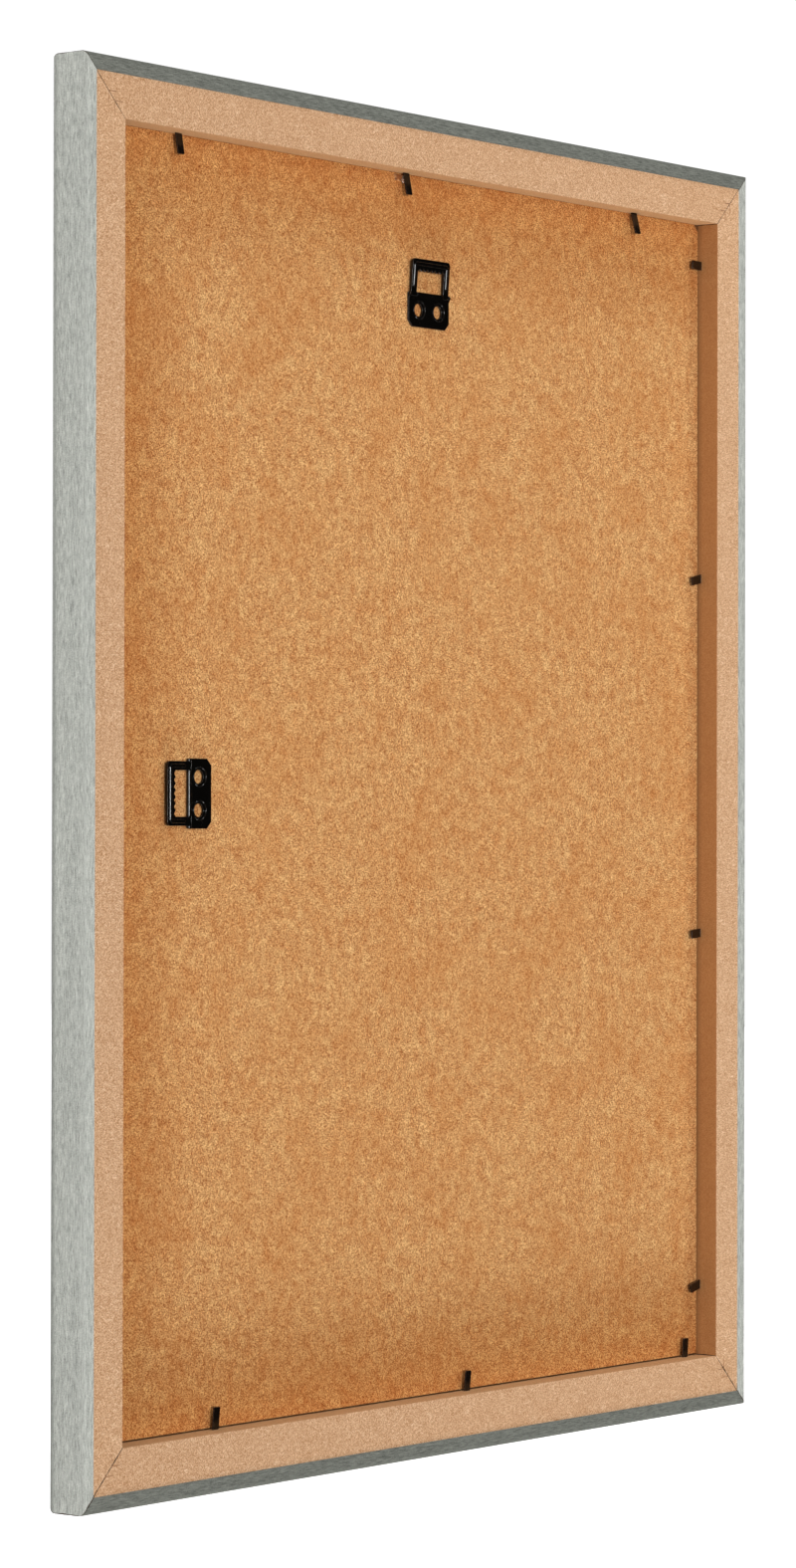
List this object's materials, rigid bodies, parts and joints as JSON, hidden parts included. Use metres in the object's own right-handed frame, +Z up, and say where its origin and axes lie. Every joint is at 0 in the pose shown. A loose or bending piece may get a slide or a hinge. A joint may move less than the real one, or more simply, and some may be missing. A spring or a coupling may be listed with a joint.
{
  "type": "picture frame with hinged hangers",
  "caption": "Picture frame of mitred foil-wrapped fibreboard sides, with glazing, a back panel held by bendable points, and swinging toothed hangers for either way up.",
  "frame": {"origin": "middle of the moulding's bounding box", "axes": "+Z up along the long side, +Y from the front towards the back and the wall, +X across to the left as seen from the back"},
  "size_m": [0.4484, 0.019, 0.5484],
  "materials": {
    "mdf": "bare sawn fibreboard, pale tan with fine fibres and dark specks",
    "silver_foil": "satin silver-grey foil with a fine brushed grain along the moulding",
    "blackened_steel": "semi-gloss black coating on thin pressed steel",
    "nail_steel": "plain steel strip, dulled",
    "clear_glazing": "clear flat glass with ground edges",
    "blank_paper": "plain unprinted sheet",
    "hardboard": "mottled orange-tan hardboard, rough felted back"
  },
  "bodies": {
    "frame": {"rail_top": "mdf", "foil_top": "silver_foil", "point_tangs_top": "blackened_steel", "stile_left": "mdf", "foil_left": "silver_foil", "point_tangs_left": "blackened_steel", "rail_bottom": "mdf", "foil_bottom": "silver_foil", "point_tangs_bottom": "blackened_steel", "stile_right": "mdf", "foil_right": "silver_foil", "point_tangs_right": "blackened_steel", "v_nails": "nail_steel", "glazing": "clear_glazing", "picture_sheet": "blank_paper", "back_panel": "hardboard", "hanger_plate_portrait": "blackened_steel", "hanger_rivets_portrait": "blackened_steel", "hanger_plate_landscape": "blackened_steel", "hanger_rivets_landscape": "blackened_steel"},
    "point_top_1": {"point_top_1": "blackened_steel"},
    "point_top_2": {"point_top_2": "blackened_steel"},
    "point_top_3": {"point_top_3": "blackened_steel"},
    "point_left_1": {"point_left_1": "blackened_steel"},
    "point_left_2": {"point_left_2": "blackened_steel"},
    "point_left_3": {"point_left_3": "blackened_steel"},
    "point_left_4": {"point_left_4": "blackened_steel"},
    "point_bottom_1": {"point_bottom_1": "blackened_steel"},
    "point_bottom_2": {"point_bottom_2": "blackened_steel"},
    "point_bottom_3": {"point_bottom_3": "blackened_steel"},
    "point_right_1": {"point_right_1": "blackened_steel"},
    "point_right_2": {"point_right_2": "blackened_steel"},
    "point_right_3": {"point_right_3": "blackened_steel"},
    "point_right_4": {"point_right_4": "blackened_steel"},
    "hanger_loop_portrait": {"hanger_loop_portrait": "blackened_steel"},
    "hanger_loop_landscape": {"hanger_loop_landscape": "blackened_steel"}
  },
  "joints": [
    {"name": "point_top_1_bend", "type": "hinge", "parent": "frame", "child": "point_top_1", "pos_m": [-0.14794, 0.0008, 0.25067], "axis": [1, 0, 0], "range_deg": [-22.5, 71]},
    {"name": "point_top_2_bend", "type": "hinge", "parent": "frame", "child": "point_top_2", "pos_m": [0.01548, 0.0008, 0.25067], "axis": [1, 0, 0], "range_deg": [-20, 74]},
    {"name": "point_top_3_bend", "type": "hinge", "parent": "frame", "child": "point_top_3", "pos_m": [0.16, 0.0008, 0.25067], "axis": [1, 0, 0], "range_deg": [-20, 75]},
    {"name": "point_left_1_bend", "type": "hinge", "parent": "frame", "child": "point_left_1", "pos_m": [0.20067, 0.0008, 0.22439], "axis": [0, 0, -1], "range_deg": [-18, 77]},
    {"name": "point_left_2_bend", "type": "hinge", "parent": "frame", "child": "point_left_2", "pos_m": [0.20067, 0.0008, 0.08559], "axis": [0, 0, -1], "range_deg": [-16, 79]},
    {"name": "point_left_3_bend", "type": "hinge", "parent": "frame", "child": "point_left_3", "pos_m": [0.20067, 0.0008, -0.07204], "axis": [0, 0, -1], "range_deg": [-17, 78]},
    {"name": "point_left_4_bend", "type": "hinge", "parent": "frame", "child": "point_left_4", "pos_m": [0.20067, 0.0008, -0.22791], "axis": [0, 0, -1], "range_deg": [-16, 79]},
    {"name": "point_bottom_1_bend", "type": "hinge", "parent": "frame", "child": "point_bottom_1", "pos_m": [0.13608, 0.0008, -0.25067], "axis": [-1, 0, 0], "range_deg": [-14.5, 80]},
    {"name": "point_bottom_2_bend", "type": "hinge", "parent": "frame", "child": "point_bottom_2", "pos_m": [-0.02754, 0.0008, -0.25067], "axis": [-1, 0, 0], "range_deg": [-15.1, 79.4]},
    {"name": "point_bottom_3_bend", "type": "hinge", "parent": "frame", "child": "point_bottom_3", "pos_m": [-0.18874, 0.0008, -0.25067], "axis": [-1, 0, 0], "range_deg": [-13.6, 81.4]},
    {"name": "point_right_1_bend", "type": "hinge", "parent": "frame", "child": "point_right_1", "pos_m": [-0.20067, 0.0004, -0.21962], "axis": [0, 0, 1], "range_deg": [-12, 80]},
    {"name": "point_right_2_bend", "type": "hinge", "parent": "frame", "child": "point_right_2", "pos_m": [-0.20067, 0.0004, -0.06375], "axis": [0, 0, 1], "range_deg": [-14, 78]},
    {"name": "point_right_3_bend", "type": "hinge", "parent": "frame", "child": "point_right_3", "pos_m": [-0.20067, 0.0004, 0.09362], "axis": [0, 0, 1], "range_deg": [-13, 79]},
    {"name": "point_right_4_bend", "type": "hinge", "parent": "frame", "child": "point_right_4", "pos_m": [-0.20067, 0.0004, 0.23268], "axis": [0, 0, 1], "range_deg": [-13, 79]},
    {"name": "hanger_loop_portrait_swing", "type": "hinge", "parent": "frame", "child": "hanger_loop_portrait", "pos_m": [-0.0015, -0.0002, 0.2023], "axis": [-1, 0, 0], "range_deg": [-6, 105]},
    {"name": "hanger_loop_landscape_swing", "type": "hinge", "parent": "frame", "child": "hanger_loop_landscape", "pos_m": [0.1516, -0.0002, -0.0037], "axis": [0, 0, 1], "range_deg": [-6, 105]}
  ]
}
